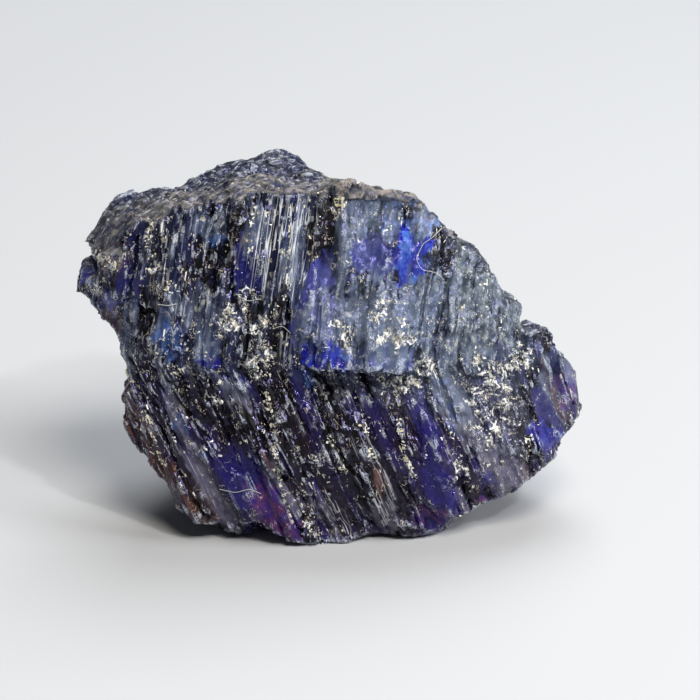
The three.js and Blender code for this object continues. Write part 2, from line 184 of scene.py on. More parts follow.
# Areas of the front face as (X, Z, half width, half height) in mm, laid along the grain.
FRONT_AREAS = {
    # Deep windows: glassy and nearly black-blue.
    "navy": [
        (-2.65, 8.7, 0.52, 0.45), (-2.98, 9.6, 0.12, 0.5), (-6.3, 8.5, 0.45, 0.35), (-2.8, 2.25, 0.8, 1.05),
        (3.4, 1.9, 0.5, 1.1), (6.7, 4, 0.35, 0.45), (2.98, 4, 0.35, 0.8),
    ],
    # Windows of bright blue: the stone's own blue, with a painted glow of light that comes back out.
    "cobalt": [
        (2.43, 9.42, 0.58, 0.5), (2.53, 8.78, 0.38, 0.32), (-0.62, 6.32, 0.42, 0.28),
        (0.22, 6.35, 0.42, 0.42), (-3.85, 6.1, 0.32, 0.16), (6.8, 3.1, 0.42, 0.42), (5.06, 2, 0.12, 0.65),
    ],
    # Steel-blue and cornflower panes.
    "azure": [
        (-5.05, 6.75, 0.45, 0.6), (2.95, 10.35, 0.46, 0.48), (1.85, 10.35, 0.28, 0.45),
        (-4.95, 4.35, 0.22, 0.65), (-0.9, 5.6, 0.3, 0.22), (-3.75, 9.7, 0.28, 0.15),
        (-4.25, 3.2, 0.15, 0.3), (3.7, 4.6, 0.3, 0.8), (-3.85, 6.8, 0.35, 0.3),
    ],
    # Thin places, indigo to magenta: the stone's own colour, with a painted glow of light through them.
    "violet": [
        (-7, 7.75, 0.25, 0.33), (-7.8, 8.3, 0.3, 0.5), (-1.85, 1.3, 0.52, 0.95), (3.25, 0.8, 0.65, 0.25),
        (5.4, 1.1, 0.7, 0.2), (7.6, 4.4, 0.4, 0.7), (1.15, 9.25, 0.62, 0.58), (-0.65, 7.45, 0.58, 1),
        (-0.3, 8.7, 0.42, 0.5), (1.55, 6.2, 0.9, 0.38),
    ],
    # Iron-stained columns, olive to black.
    "dark": [
        (-5.8, 7.45, 0.32, 0.8), (-5.75, 6, 0.18, 0.55), (-4.1, 8.95, 0.62, 0.65), (-1.64, 7.85, 0.3, 0.5),
        (-1.6, 6.95, 0.33, 0.3), (-0.4, 9.95, 0.52, 0.8), (2.31, 10.2, 0.17, 0.52), (3.5, 9.55, 0.48, 0.65),
        # The one at X 0.4, Z 5.3 lies in the hollow under the step: its dark is partly stain and partly
        # painted shade.
        (2.82, 6.35, 0.42, 0.22), (0.4, 5.3, 0.5, 0.35), (-4.1, 4.7, 0.7, 0.85), (-2.75, 4.3, 0.65, 0.85),
        (-1.45, 3.9, 0.35, 1.4), (0.95, 2.7, 1, 2.1), (6.7, 6.35, 0.4, 0.55),
    ],
    # Brown glass and rusty stain.
    "rusty": [
        (-7, 9.1, 0.7, 0.5), (-7, 6.9, 0.35, 0.55), (-6.35, 3.8, 0.5, 0.75), (-5.4, 2.5, 0.5, 0.6),
        (-4.25, 1.35, 0.55, 0.75), (-2.08, 3.1, 0.15, 0.33), (1.42, 2.5, 0.2, 0.22),
        (6.15, 1.95, 0.17, 0.45), (6.98, 4.7, 0.13, 0.5), (7.3, 3.8, 0.13, 0.5), (7.8, 4.6, 0.2, 0.65),
    ],
    # Worn and frosted, slate to pale grey-blue.
    "frosted": [
        (0.85, 10.35, 0.65, 0.52), (0.36, 9.15, 0.14, 1.1), (1.17, 8.25, 0.62, 0.45), (0.6, 7.4, 0.7, 0.8),
        (-0.65, 7.45, 0.55, 0.95), (1.55, 6.2, 0.85, 0.36), (4.15, 8.2, 0.48, 1.65), (4.6, 6.6, 0.5, 0.7),
        (2.9, 8.1, 0.8, 0.5), (2.95, 10.35, 0.4, 0.45), (1.85, 10.35, 0.25, 0.45), (2.2, 7.4, 1.1, 0.75),
        (5, 8.3, 0.6, 1), (5.75, 7, 0.45, 0.7), (3.75, 4.9, 0.5, 1.2), (7.5, 5.3, 0.25, 0.4),
        (-1.2, 9.4, 0.36, 1.25), (-2.33, 10.1, 0.38, 0.75), (-5.02, 9.6, 0.18, 0.3),
        (-3.88, 10.2, 0.6, 0.42), (-4.5, 7.75, 0.9, 0.42), (-3.95, 6.7, 0.42, 0.5), (-4.95, 4.2, 0.2, 0.6),
        (-4.25, 3.2, 0.15, 0.3), (-3.05, 5.15, 0.42, 0.4), (-4.1, 2.4, 0.3, 0.85), (-3.4, 1.1, 0.36, 0.75),
        (-0.2, 1, 0.22, 0.85), (1.7, 1, 0.45, 0.6), (5.45, 2.2, 0.7, 1), (-6.45, 6.6, 0.25, 1.4),
        (0.4, 5.3, 0.48, 0.38),
    ],
    # Crushed to bright crumbs.
    "crumbled": [
        (-5.65, 9.7, 0.22, 0.55), (-7.1, 9.1, 0.35, 0.25), (-2.55, 8.2, 0.42, 0.2), (-2.3, 7.2, 0.33, 0.38),
        (-3.1, 7.5, 0.4, 0.6), (-2.3, 6.1, 0.38, 0.62), (-0.2, 7.05, 0.75, 0.58), (1.72, 7.85, 0.42, 0.42),
        (2.72, 7.4, 0.52, 0.15), (2.2, 6.95, 1, 0.25), (2.9, 5.9, 0.5, 0.38), (2.2, 5.3, 0.9, 0.4),
        (5.1, 4.4, 0.85, 1.15), (5.35, 5.8, 0.95, 0.42), (-4.1, 5, 0.5, 0.25), (4.05, 2.4, 0.28, 0.4),
        (-0.75, 0.6, 0.2, 0.3), (-4.5, 5.8, 0.4, 0.2),
    ],
    # Flutes with a painted highlight line down nearly every one.
    "lined": [
        (-1.95, 9.55, 0.75, 1.35), (0.1, 1, 0.4, 0.75), (1.6, 1.3, 0.22, 0.6), (-5.3, 9.9, 0.2, 0.45),
    ],
    # Long even flutes with little broken out of them.
    "fluted": [
        (-1.15, 9.4, 1.6, 1.45), (-2.9, 2.3, 1.05, 1.25), (0.7, 2.4, 1.75, 2.1), (5.45, 2.2, 0.75, 1.1),
        (-4.6, 2.2, 0.8, 1.3),
    ],
}
# Areas of the top face as (X, Y, half width, half depth) in mm.
TOP_AREAS = {
    "navy": [
        (-1.1, 2.3, 0.4, 0.6), (-3.6, 1.9, 0.6, 0.35), (-6, 0.8, 0.5, 0.35), (-2.4, 0.9, 0.45, 0.35),
        (-4.9, 0.2, 0.6, 0.25), (0.9, 1.4, 0.5, 0.4),
    ],
    "cobalt": [(-0.5, 2.6, 0.2, 0.45)],
    "dark": [
        (-0.1, -1.8, 0.55, 0.45), (-3.1, 2.7, 0.6, 0.4), (-1.9, 1.6, 0.4, 0.5),
    ],
    "rusty": [(-7.2, 0.4, 0.5, 0.5)],
}
# How the columns outside those areas are dealt out: each kind takes a stretch of the numbers from 0 to 1.
DEALT_SHARES = {
    "navy": (0.0, 0.20), "cobalt": (0.20, 0.22), "azure": (0.22, 0.25), "violet": (0.25, 0.27),
    "dark": (0.27, 0.50), "rusty": (0.50, 0.55), "fluted": (0.55, 0.76), "frosted": (0.76, 0.88),
    "crumbled": (0.88, 0.92), "lined": (0.92, 0.97),
}
# How strong the dealt kinds are on the front, where the others come only from the areas above.
DEALT_ON_FRONT = {"navy": 0.3, "dark": 1.0, "fluted": 1.0, "frosted": 0.8, "crumbled": 0.5, "lined": 0.3}
LOST_ON_TOP = 0.45          # how much weaker the dealt kinds are on the top face
# Frost on the top face, whose grey also stands in for a painted sheen of light from above.
FROST_AND_SHEEN_ON_TOP = 0.5
KINDS = tuple(DEALT_SHARES)
RIB_CELL = (0.12, 0.25, 0.80)        # mm, the shards by which one area gives way to the next
PANE_CELL = (0.36, 0.40, 0.42)       # mm, the broad chips that edge a window
PANED = ("cobalt", "azure", "violet")
GLASSY = ("navy", "cobalt", "violet")
SHARD_EDGE, PANE_EDGE, CRUMB_EDGE = 0.3, 0.15, 0.5   # parts of an area's half size over which it gives way
COLUMN_CELL = (0.50, 0.65, 2.40)     # mm, the columns that are dealt out
COLUMN_WANDER = (0.16, 0.16, 0.70)   # mm, how far their sides and ends stray
WANDER_SIZE = (0.5, 0.5, 1.1)        # mm, the lumps by which they stray
CRUMB_PATCHES = (0.45, 0.5, 0.6)     # mm
END_REACH = 1.8                      # mm that the front's areas reach back round the two ends


def inside(flat_places, areas, edge=SHARD_EDGE):
    """How far places measured on one face lie in any of its rounded areas, from 0 to 1."""
    strength = np.zeros(len(flat_places))
    for across, up, half_width, half_height in areas:
        apart = np.cbrt(np.abs((flat_places[:, 0] - across) / half_width) ** 3
                        + np.abs((flat_places[:, 1] - up) / half_height) ** 3)
        strength = np.maximum(strength, smooth_step(1 + edge, 1 - edge, apart))
    return strength


def leaned(areas):
    """Front areas with their middles counted across and along the grain."""
    middles = grain_place(np.array([(area[0], 0.0, area[1]) for area in areas]))
    return [(middle[0], middle[2], area[2], area[3]) for middle, area in zip(middles, areas)]


# The front edge of the top face, as X and Z in mm. Ledges lower down on the front are none of it.
TOP_EDGE = [
    (-8.05, 8.6), (-5.4, 10.1), (-1.3, 11.0), (0.3, 10.9), (3.0, 10.75), (3.6, 10.0), (4.8, 8.1), (6.6, 6.2),
    (8.05, 4.5),
]


def top_face(points, normals):
    """1 on the top face and 0 elsewhere."""
    x, y, z = points.T
    edge = np.interp(x, *np.transpose(TOP_EDGE))
    ledge = smooth_step(-0.6, -1.4, y) * smooth_step(edge - 0.1, edge - 0.6, z)
    level = smooth_step(0.45, 0.8, normals @ UP) * smooth_step(3.5, 5.0, z) * (1 - ledge)
    shelf = smooth_step(edge - 0.1, edge + 0.1, z) * smooth_step(-0.1, 0.3, x) * smooth_step(3.5, 3.1, x)
    return np.maximum(level, shelf)


def zones(points, normals):
    """How far each point belongs to each kind of surface, from 0 to 1."""
    up = top_face(points, normals)
    grain = grain_place(points)
    shards = cells(grain, RIB_CELL, 71)[3]
    panes = cells(grain, PANE_CELL, 73)[3]
    wander = [reach * soft_noise(grain, WANDER_SIZE, 83 + axis) for axis, reach in enumerate(COLUMN_WANDER)]
    dealt = chance(cells(grain + np.transpose(wander), COLUMN_CELL, 75)[2], 79)
    turned = smooth_step(0.80, 0.95, np.abs(normals[:, 0]))
    front = smooth_step(0.3, -0.3, points[:, 1] + END_REACH * turned) * (1 - up)
    # Crumbling fades out unevenly and leaves some of the ground whole.
    spread = inside(grain[:, [0, 2]], leaned(FRONT_AREAS["crumbled"]), CRUMB_EDGE) * front
    placed = {"crumbled": spread * smooth_step(-0.5, 0.15, layered_noise(grain, CRUMB_PATCHES, 91))}
    for kind in (kind for kind in KINDS if kind not in placed):
        spots, edge = (panes, PANE_EDGE) if kind in PANED else (shards, SHARD_EDGE)
        on_front = inside(spots[:, [0, 2]], leaned(FRONT_AREAS[kind]), edge) * front
        on_top = inside(plain_place(spots)[:, [0, 1]], TOP_AREAS.get(kind, [])) * up
        placed[kind] = np.maximum(on_front, on_top)
    free = 1 - np.max(list(placed.values()), axis=0)
    area = {"top": up}
    for kind, (low, high) in DEALT_SHARES.items():
        taken = ((dealt >= low) & (dealt < high)) * free * (1 - LOST_ON_TOP * up)
        taken = taken * (1 - (1 - DEALT_ON_FRONT.get(kind, 0.0)) * front)
        area[kind] = np.maximum(placed[kind], taken)
    area["frosted"] = np.maximum(area["frosted"], FROST_AND_SHEEN_ON_TOP * up)
    return area


# ---- shape of the skin

def rib_lengths(nodes, height, length, salt):
    """A number from 0 to 1 for the stretch of each rib at a height. Each is cut across at its own places."""
    phase = chance(nodes[:, None], salt)
    part = np.floor(height / (length * (0.5 + phase)) + 9 * phase)
    return chance(np.column_stack([nodes, part]), salt + 1)


def rib_profile(across, height, width, length, salt):
    """Flat-sided ribs from -1 to 1: straight lines between ridges and grooves, as prism faces meet."""
    wander = across / width + 0.45 * soft_noise(across[:, None], 2.7 * width, salt + 2)
    node = np.floor(wander).astype(np.int64)
    share = wander - node
    low = rib_lengths(node, height + 0.25 * width * share, length, salt)
    high = rib_lengths(node + 1, height, length, salt)
    return 2 * (low * (1 - share) + high * share) - 1


def around(points, normals, rule):
    """A relief rule laid round the whole stone: counted across the faces, and front to back on the ends."""
    grain = grain_place(points)
    faces = rule(grain[:, 0] + 0.10 * grain[:, 1], grain[:, 2], 0)
    ends = rule(grain[:, 1] + 0.10 * grain[:, 0], grain[:, 2], 7)
    share = end_share(normals)
    return faces * (1 - share) + ends * share


def ribs(points, normals, width, length, salt):
    """Ribs from -1 to 1 along the grain."""
    rough = 0.12 * soft_noise(points, 0.7, salt + 5)
    return around(points, normals, lambda across, height, turn:
                  rib_profile(across, height + rough, width, length, salt + turn))


def cracks(points, normals, spacing, width, length, share, salt):
    """Narrow cracks along the grain: -1 at the bottom of a crack and 0 between them."""
    def rule(across, height, turn):
        across = across / spacing + 0.25 * soft_noise(points, 1.1, salt + 3)
        node = np.round(across).astype(np.int64)
        middle = node + 0.6 * (chance(node[:, None], salt + turn) - 0.5)
        open_here = rib_lengths(node, height, length, salt + turn + 1) < share
        return -smooth_step(width / 2, width / 5, np.abs(across - middle) * spacing) * open_here
    return around(points, normals, rule)


def chip_relief(points, size, salt):
    """Flat-faced chips: each scattered cell is a small plane with a height and a tilt of its own."""
    _, _, ids, seeds = cells(points, size, salt)
    tilt = np.stack([chance(ids, salt + axis + 5) - 0.5 for axis in range(3)], axis=1)
    slope = np.einsum("ij,ij->i", points - seeds, tilt) / np.mean(size)
    return 2.4 * slope + chance(ids, salt + 9) - 0.5


def pit_relief(points, size, share, salt):
    """Angular pits where a chip has dropped out: 0 outside and -1 inside."""
    nearest, second, ids, _ = cells(points, size, salt)
    return -smooth_step(0.0, 0.12, second - nearest) * (chance(ids, salt + 5) < share)


def ledge_place(points):
    """Places on the top face with the third number along its ledges, which flatten out to the right."""
    x, y, z = points.T
    heading = np.radians(54 - 29 * smooth_step(-5.0, 2.0, x))
    across = -x * np.sin(heading) + y * np.cos(heading)
    along = x * np.cos(heading) + y * np.sin(heading)
    return np.stack([across + 0.5 * z, z - 0.5 * across, along], axis=1)


def ledge_relief(points, size, length, salt):
    """Parallel ledges on the top face."""
    across, _, along = ledge_place(points).T
    return rib_profile(across, along, size, length, salt)


# The overhanging step in the middle of the front, and the hollow under it.
STEP_LEFT, STEP_RIGHT = -0.4, 2.3
STEP_LOW, STEP_HIGH = 5.25, 5.95


def step_hollow(points):
    """-1 in the shadowed hollow under the step, and 0 away from it."""
    x, y, z = points.T
    along = smooth_step(STEP_LEFT - 0.1, STEP_LEFT + 0.2, x)
    along = along * smooth_step(STEP_RIGHT + 0.5, STEP_RIGHT - 0.4, x)
    upright = smooth_step(STEP_HIGH + 0.06, STEP_HIGH - 0.06, z)
    upright = upright * smooth_step(STEP_LOW - 0.5, STEP_LOW + 0.5, z)
    return -along * upright * (y < 0)


# Hollows in the outline, as (X, Z, half width, half height, depth) in mm. They run from front to back.
# One of negative depth is a swell.
OUTLINE_HOLLOWS = [
    (6.05, 6.15, 0.16, 0.7, 0.45), (7.12, 4.75, 0.16, 0.6, 0.4), (-7.75, 8.65, 0.22, 0.18, 0.3),
    (-6.9, 6.3, 0.5, 0.9, 0.18), (-6.55, 5.3, 0.4, 0.6, 0.2), (-6.85, 4.9, 0.35, 0.3, 0.22),
    (-2.5, 10.9, 0.9, 0.5, -0.16),
]


def outline_trim(points):
    """Below 0 where the outline is hollow, the left side is trimmed and the front is undercut at its foot."""
    x, y, z = points.T
    trim = -0.14 * smooth_step(-4.6, -6.4, x) * smooth_step(3.9, 4.6, z) * smooth_step(8.9, 8.4, z)
    trim -= 0.22 * smooth_step(1.3, 0.3, z) * smooth_step(-1.0, -2.5, y) * smooth_step(-4.0, -3.0, x)
    for middle, height, half_width, half_height, depth in OUTLINE_HOLLOWS:
        apart = np.hypot((x - middle) / half_width, (z - height) / half_height)
        trim -= depth * smooth_step(1.3, 0.4, apart)
    return trim


def blocky_shift(points, normals):
    """Outward move in mm for the blocks and broad ribs."""
    area = zones(points, normals)
    glassy = np.maximum(area["navy"], area["cobalt"])
    steady = 1 - 0.4 * glassy
    side = along_grain(points, normals) * (1 - area["top"])
    across = (1 - side) * (1 - area["top"])
    broken = 1 - 0.6 * area["fluted"]
    grain = grain_place(points)
    shift = 0.17 * ribs(points, normals, 1.05, 4.6, 21) * side * steady
    shift += 0.15 * ribs(points, normals, 0.52, 2.4, 27) * side * steady * broken
    shift += 0.12 * ribs(points, normals, 0.50, 6.0, 31) * side * area["fluted"]
    shift += 0.10 * chip_relief(grain, (0.8, 0.9, 2.2), 41) * side * steady * broken
    shift += 0.22 * cracks(points, normals, 1.5, 0.16, 3.0, 0.45, 51) * side
    shift += 0.07 * chip_relief(points, (1.4, 1.4, 1.1), 47) * (side * steady * broken + across)
    shift += 0.09 * ledge_relief(points, 0.9, 5.0, 61) * area["top"]
    shift += 0.06 * ledge_relief(points, 0.45, 3.0, 65) * area["top"]
    shift += 0.08 * chip_relief(points, (0.9, 0.9, 0.8), 49) * area["top"]
    shift += 0.27 * step_hollow(points)
    return shift + outline_trim(points)


def fine_shift(points, normals):
    """Outward move in mm for narrow ribs, chips and pits."""
    area = zones(points, normals)
    glassy = np.max([area[kind] for kind in GLASSY], axis=0)
    steady = (1 - 0.7 * glassy) * (1 - 0.45 * area["frosted"])
    side = along_grain(points, normals) * (1 - area["top"])
    ribbed = side * (1 - 0.7 * area["crumbled"])
    across = (1 - side) * (1 - area["top"])
    rough = 0.3 + 0.7 * smooth_step(-0.3, 0.3, layered_noise(points, 1.6, 171))
    broken = (1 - area["fluted"]) * rough
    grain = grain_place(points)
    shift = 0.075 * ribs(points, normals, 0.27, 1.6, 101) * ribbed * steady * broken
    shift += 0.035 * ribs(points, normals, 0.15, 1.0, 121) * ribbed * (1 - 0.5 * glassy) * broken
    shift += 0.065 * ribs(points, normals, 0.25, 6.0, 105) * ribbed * area["fluted"]
    shift += 0.032 * ribs(points, normals, 0.14, 5.0, 125) * ribbed * area["fluted"]
    shift += 0.10 * cracks(points, normals, 0.55, 0.10, 1.4, 0.35, 125) * ribbed * (1 - 0.5 * area["fluted"])
    shift += 0.065 * chip_relief(grain, (0.3, 0.35, 0.6), 141) * side * steady * broken
    shift += 0.04 * chip_relief(points, (0.5, 0.5, 0.4), 145) * across
    shift += 0.09 * chip_relief(points, (0.36, 0.36, 0.3), 131) * area["crumbled"] * (1 - 0.7 * area["top"])
    shift += 0.025 * ledge_relief(points, 0.22, 1.2, 151) * area["top"]
    shift += 0.06 * chip_relief(points, (0.38, 0.38, 0.34), 155) * area["top"]
    shift += 0.10 * pit_relief(grain, (0.3, 0.3, 0.4), 0.08, 161) * steady * broken * (1 - 0.8 * area["top"])
    return shift


# ---- mesh work

def to_object(name, mesh):
    """A new object that shows this mesh, curve, lamp or camera."""
    made = bpy.data.objects.new(name, mesh)
    bpy.context.scene.collection.objects.link(made)
    return made


def modified(name, mesh, kind, settings):
    """The mesh that a modifier makes of this one."""
    scratch = to_object(name, mesh)
    changer = scratch.modifiers.new(kind.lower(), kind)
    for setting, value in settings.items():
        setattr(changer, setting, value)
    shown = scratch.evaluated_get(bpy.context.evaluated_depsgraph_get())
    result = bpy.data.meshes.new_from_object(shown)
    bpy.data.objects.remove(scratch)
    bpy.data.meshes.remove(mesh)
    return result


def remeshed(name, mesh, spacing):
    """An even mesh over a closed one in millimetres, laid along the grain and finer across it."""
    set_places(mesh, grain_place(vertex_places(mesh)) / spacing)
    result = modified(name, mesh, "REMESH", {"mode": "VOXEL", "voxel_size": 1.0})
    set_places(result, plain_place(vertex_places(result) * spacing))
    return result


def thinned(name, mesh, triangles):
    """The same surface with fewer triangles, which stay where it bends most."""
    count = sum(len(face.vertices) - 2 for face in mesh.polygons)
    return modified(name, mesh, "DECIMATE", {"ratio": min(1.0, triangles / count)})


def smoothed_normals(mesh, rounds):
    """Normals of a softened copy, so that a shift goes straight out of the broad form."""
    softer = modified("softened", mesh.copy(), "SMOOTH", {"factor": 0.5, "iterations": rounds})
    normals = point_values(softer.vertices, "normal", 3)
    bpy.data.meshes.remove(softer)
    return normals


def point_values(points, name, width):
    """One value, or one row of values, for each point of a mesh."""
    values = np.zeros(len(points) * width, np.float32)
    points.foreach_get(name, values)
    return values.reshape(-1, width).astype(float) if width > 1 else values


def vertex_places(mesh):
    """The places of a mesh's points, one row for each."""
    return point_values(mesh.vertices, "co", 3)


def set_places(mesh, places):
    """Moves a mesh's points to these places."""
    mesh.vertices.foreach_set("co", places.astype(np.float32).ravel())
    mesh.update()


def shifted(mesh, shift_rule, rounds):
    """Moves a mesh's points along its broad normals and keeps them above the resting plane."""
    places = vertex_places(mesh)
    normals = smoothed_normals(mesh, rounds)
    resting = smooth_step(0.5, 0.12, places[:, 2]) * smooth_step(-0.5, -0.9, normals[:, 2])
    places += normals * (shift_rule(places, normals) * (1 - resting))[:, None]
    places[:, 2] = np.maximum(places[:, 2], 0.0)
    set_places(mesh, places)
    return mesh


def softened(mesh, places, rounds):
    """Places evened out over their neighbours, round after round."""
    edges = np.zeros(len(mesh.edges) * 2, np.int32)
    mesh.edges.foreach_get("vertices", edges)
    edges = edges.reshape(-1, 2)
    count = np.bincount(edges.ravel(), minlength=len(places))[:, None]
    for _ in range(rounds):
        total = np.zeros_like(places)
        for axis in range(3):
            for here, there in ((0, 1), (1, 0)):
                total[:, axis] += np.bincount(edges[:, here], places[edges[:, there], axis], len(places))
        places = total / count
    return places


def worn(mesh):
    """The same mesh with the slope of its right side and the crest rounded by wear."""
    places = vertex_places(mesh)
    x, _, z = places.T
    wear = smooth_step(2.6, 3.4, x) * smooth_step(5.4, 4.8, x) * smooth_step(7.0, 8.0, z)
    wear = np.maximum(wear, 0.35 * smooth_step(4.8, 5.4, x))
    wear = np.maximum(wear, 0.35 * smooth_step(8.5, 9.5, z))
    set_places(mesh, places + (softened(mesh, places, WEAR_ROUNDS) - places) * wear[:, None])
    return mesh


def hollowness(mesh, places, normals):
    """0.5 on even ground, more in a groove and less on an edge, by how far a point is off its neighbours."""
    inward = np.einsum("ij,ij->i", softened(mesh, places, HOLLOW_ROUNDS) - places, normals)
    return np.clip(0.5 + inward / HOLLOW_SPAN, 0, 1)


def store(mesh, name, kind, values):
    """Stores one value for each point of a mesh, under a name that its material can read."""
    mesh.attributes.new(name, kind, "POINT").data.foreach_set(
        "vector" if kind == "FLOAT_VECTOR" else "value", np.asarray(values, np.float32).ravel()
    )


def crystal_skin():
    """The finished surface of the stone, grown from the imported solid."""
    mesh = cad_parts[NODE].data.copy()
    set_places(mesh, vertex_places(mesh) / MM)
    mesh = worn(remeshed("blocks", mesh, np.array(ROUGH_SPACING)))
    mesh = shifted(mesh, blocky_shift, BLOCK_SOFTENING)
    mesh = remeshed("skin", mesh, np.array(SKIN_SPACING))
    mesh = shifted(mesh, fine_shift, SKIN_SOFTENING)
    mesh = thinned("thin", mesh, SKIN_TRIANGLES)
    places = vertex_places(mesh)
    low = np.array(CAD_BOX[0]) / MM - BOX_SPARE
    high = np.array(CAD_BOX[1]) / MM + BOX_SPARE
    low[2] = 0
    places = np.clip(places, low, high)
    normals = smoothed_normals(mesh, SKIN_SOFTENING)
    area = zones(places, normals)
    for name, values in area.items():
        store(mesh, name, "FLOAT", values)
    runs = np.where(area["top"][:, None] > 0.5, ledge_place(places), grain_place(places))
    store(mesh, "run", "FLOAT_VECTOR", runs)
    store(mesh, "end", "FLOAT", end_share(normals) * (area["top"] < 0.5))
    store(mesh, "hollow", "FLOAT", hollowness(mesh, places, normals))
    set_places(mesh, places * MM)
    mesh.materials.clear()
    mesh.shade_smooth()
    mesh.set_sharp_from_angle(angle=math.radians(SHARP_ANGLE))
    return to_object("crystal_skin", mesh)


# Chains of flecks on the front, each as (X, Z) points in mm.
FLECK_CHAINS = [
    [(-2.06, 5.15), (-1.85, 4.1), (-1.75, 3.0), (-1.5, 1.7), (-1.2, 0.9)],
    [(-0.5, 3.7), (-0.1, 3.75), (0.35, 3.3), (0.3, 2.7), (-0.15, 2.3), (-0.45, 2.8), (-0.5, 3.5)],
    [(-5.85, 4.15), (-5.6, 3.2), (-5.3, 2.4)],
    [(-2.5, 10.6), (-2.55, 9.5)],
    [(-1.3, 10.5), (-1.4, 8.3)],
    [(0.95, 4.6), (1.2, 3.4), (1.5, 2.5)],
    [(2.1, 4.3), (2.25, 3.3), (2.6, 2.3)],
    [(-0.1, 8.1), (-0.2, 6.5)],
]
CHAIN_REACH = 0.05          # mm either side of a chain
# Small nests of yellowish flecks on the front, as (X, Z, reach) in mm.
FLECK_NESTS = [(0.25, 10.80, 0.24), (2.12, 4.0, 0.09), (2.20, 3.5, 0.09), (2.30, 3.1, 0.08)]
GRAIN_SHARE = 0.5           # of the splinters and flecks that lie along the grain
BLOCK_FACES = [(0, 1, 3, 2), (4, 6, 7, 5), (0, 4, 5, 1), (2, 3, 7, 6), (0, 2, 6, 4), (1, 5, 7, 3)]


def near_chains(points):
    """1 on the front beside a chain of flecks, and 0 elsewhere."""
    strength = np.zeros(len(points))
    places = points[:, [0, 2]]
    for chain in FLECK_CHAINS:
        for start, end in zip(np.array(chain[:-1]), np.array(chain[1:])):
            along = np.clip((places - start) @ (end - start) / np.sum((end - start) ** 2), 0, 1)
            apart = np.linalg.norm(places - start - along[:, None] * (end - start), axis=1)
            strength = np.maximum(strength, smooth_step(2 * CHAIN_REACH, CHAIN_REACH, apart))
    return strength * (points[:, 1] < 0)


def read(mesh, name):
    """The numbers that a mesh stores under a name."""
    return point_values(mesh.attributes[name].data, "value", 1)


def strewn(name, skin, weights, count, half_size, stretch, seed):
    """Angular bits that lie on the skin, and the skin points that they sit on. Some lie along the grain."""
    rng = np.random.default_rng(seed)
    hosts = rng.choice(len(weights), count, p=weights / weights.sum())
    middles = vertex_places(skin)[hosts] / MM
    out = point_values(skin.vertices, "normal", 3)[hosts]
    lean, _ = grain_lean(middles[:, 0], middles[:, 2])
    grain = np.stack([lean, np.full(count, BACKWARD_LEAN), np.ones(count)], axis=1)
    heading = np.where(rng.random((count, 1)) < GRAIN_SHARE, grain, rng.normal(size=(count, 3)))
    side = np.cross(out, heading)
    side /= np.linalg.norm(side, axis=1)[:, None]
    frames = np.stack([np.cross(side, out), side, out], axis=1)
    corners = (np.array(list(np.ndindex(2, 2, 2))) * 2 - 1) * rng.uniform(0.35, 1.0, (count, 8, 3))
    size = half_size[0] + (half_size[1] - half_size[0]) * rng.random((count, 1, 1)) ** 3
    shape = np.stack([rng.uniform(*stretch, count), np.ones(count), rng.uniform(0.4, 1.0, count)], axis=1)
    corners = np.einsum("nki,nij->nkj", corners * size * shape[:, None, :], frames) + middles[:, None, :]
    corners[:, :, 2] = np.maximum(corners[:, :, 2], 0.01)
    faces = np.array(BLOCK_FACES) + 8 * np.arange(count)[:, None, None]
    mesh = bpy.data.meshes.new(name)
    mesh.from_pydata((corners.reshape(-1, 3) * MM).tolist(), [], faces.reshape(-1, 4).tolist())
    return to_object(name, mesh), hosts


def mineral_weights(skin):
    """How thickly the pale mineral lies at each point of the skin."""
    places = vertex_places(skin) / MM
    glassy = np.max([read(skin, kind) for kind in GLASSY], axis=0)
    weights = 0.05 + read(skin, "crumbled") ** 2
    weights += 0.06 * smooth_step(0.0, -1.0, places[:, 0]) * smooth_step(5.5, 6.5, places[:, 2])
    weights *= 1 - 0.8 * read(skin, "top")
    weights *= smooth_step(0.0, 0.6, layered_noise(places, 0.45, 31))
    weights = weights + 0.6 * near_chains(places) * smooth_step(-0.5, 0.3, layered_noise(places, 0.3, 37))
    weights = weights * (1 - 0.85 * glassy) * (places[:, 2] > 0.3)
    for x, z, reach in FLECK_NESTS:
        apart = np.hypot(places[:, 0] - x, places[:, 2] - z)
        weights += 2.5 * smooth_step(reach, 0.5 * reach, apart) * (places[:, 1] < 0)
    return weights


def crushed_flecks(skin):
    """Cream crumbs in drifts and chains on the surface."""
    made, hosts = strewn("crushed_flecks", skin, mineral_weights(skin), count=4400, half_size=(0.008, 0.044),
                         stretch=(1.0, 2.2), seed=5)
    places = vertex_places(skin)[hosts] / MM
    tone = 0.6 * chance(hosts[:, None], 3) ** 2 + 0.35 * smooth_step(3.0, 1.0, places[:, 0])
    for x, z, reach in FLECK_NESTS:
        tone = np.maximum(tone, np.hypot(places[:, 0] - x, places[:, 2] - z) < reach)
    store(made.data, "tone", "FLOAT", np.repeat(tone, 8))
    return made


def pale_splinters(skin):
    """Splinters of pale mineral, bright where the light catches their flat sides."""
    made, _ = strewn("pale_splinters", skin, mineral_weights(skin), count=1100, half_size=(0.010, 0.028),
                     stretch=(3.0, 7.0), seed=15)
    store(made.data, "tone", "FLOAT", np.zeros(len(made.data.vertices)))
    return made


# Fine pale hairs of lint caught on the front, each as (X, Z) points in mm from end to end.
LINT_HAIRS = [
    [(3.45, 9.95), (2.85, 9.60), (2.62, 9.15), (2.80, 8.85), (3.10, 8.78), (3.35, 8.66), (3.50, 8.48)],
    [(-5.45, 7.95), (-5.15, 7.90), (-4.85, 7.92)],
    [(-3.55, 2.00), (-3.05, 1.95), (-2.60, 2.10), (-2.25, 1.90)],
    [(-3.00, 8.25), (-2.65, 8.05), (-2.25, 8.12)],
    [(-1.85, 7.15), (-1.55, 7.28), (-1.30, 7.05)],
    [(3.85, 4.55), (3.98, 4.62), (4.08, 4.50), (4.00, 4.33), (3.88, 4.38), (3.86, 4.50)],
]
HAIR_THICKNESS = 0.018      # mm
HAIR_STEP = 0.08            # mm between the points of a hair
HAIR_REACH = 0.12           # mm round each point, where the highest rib holds the hair up


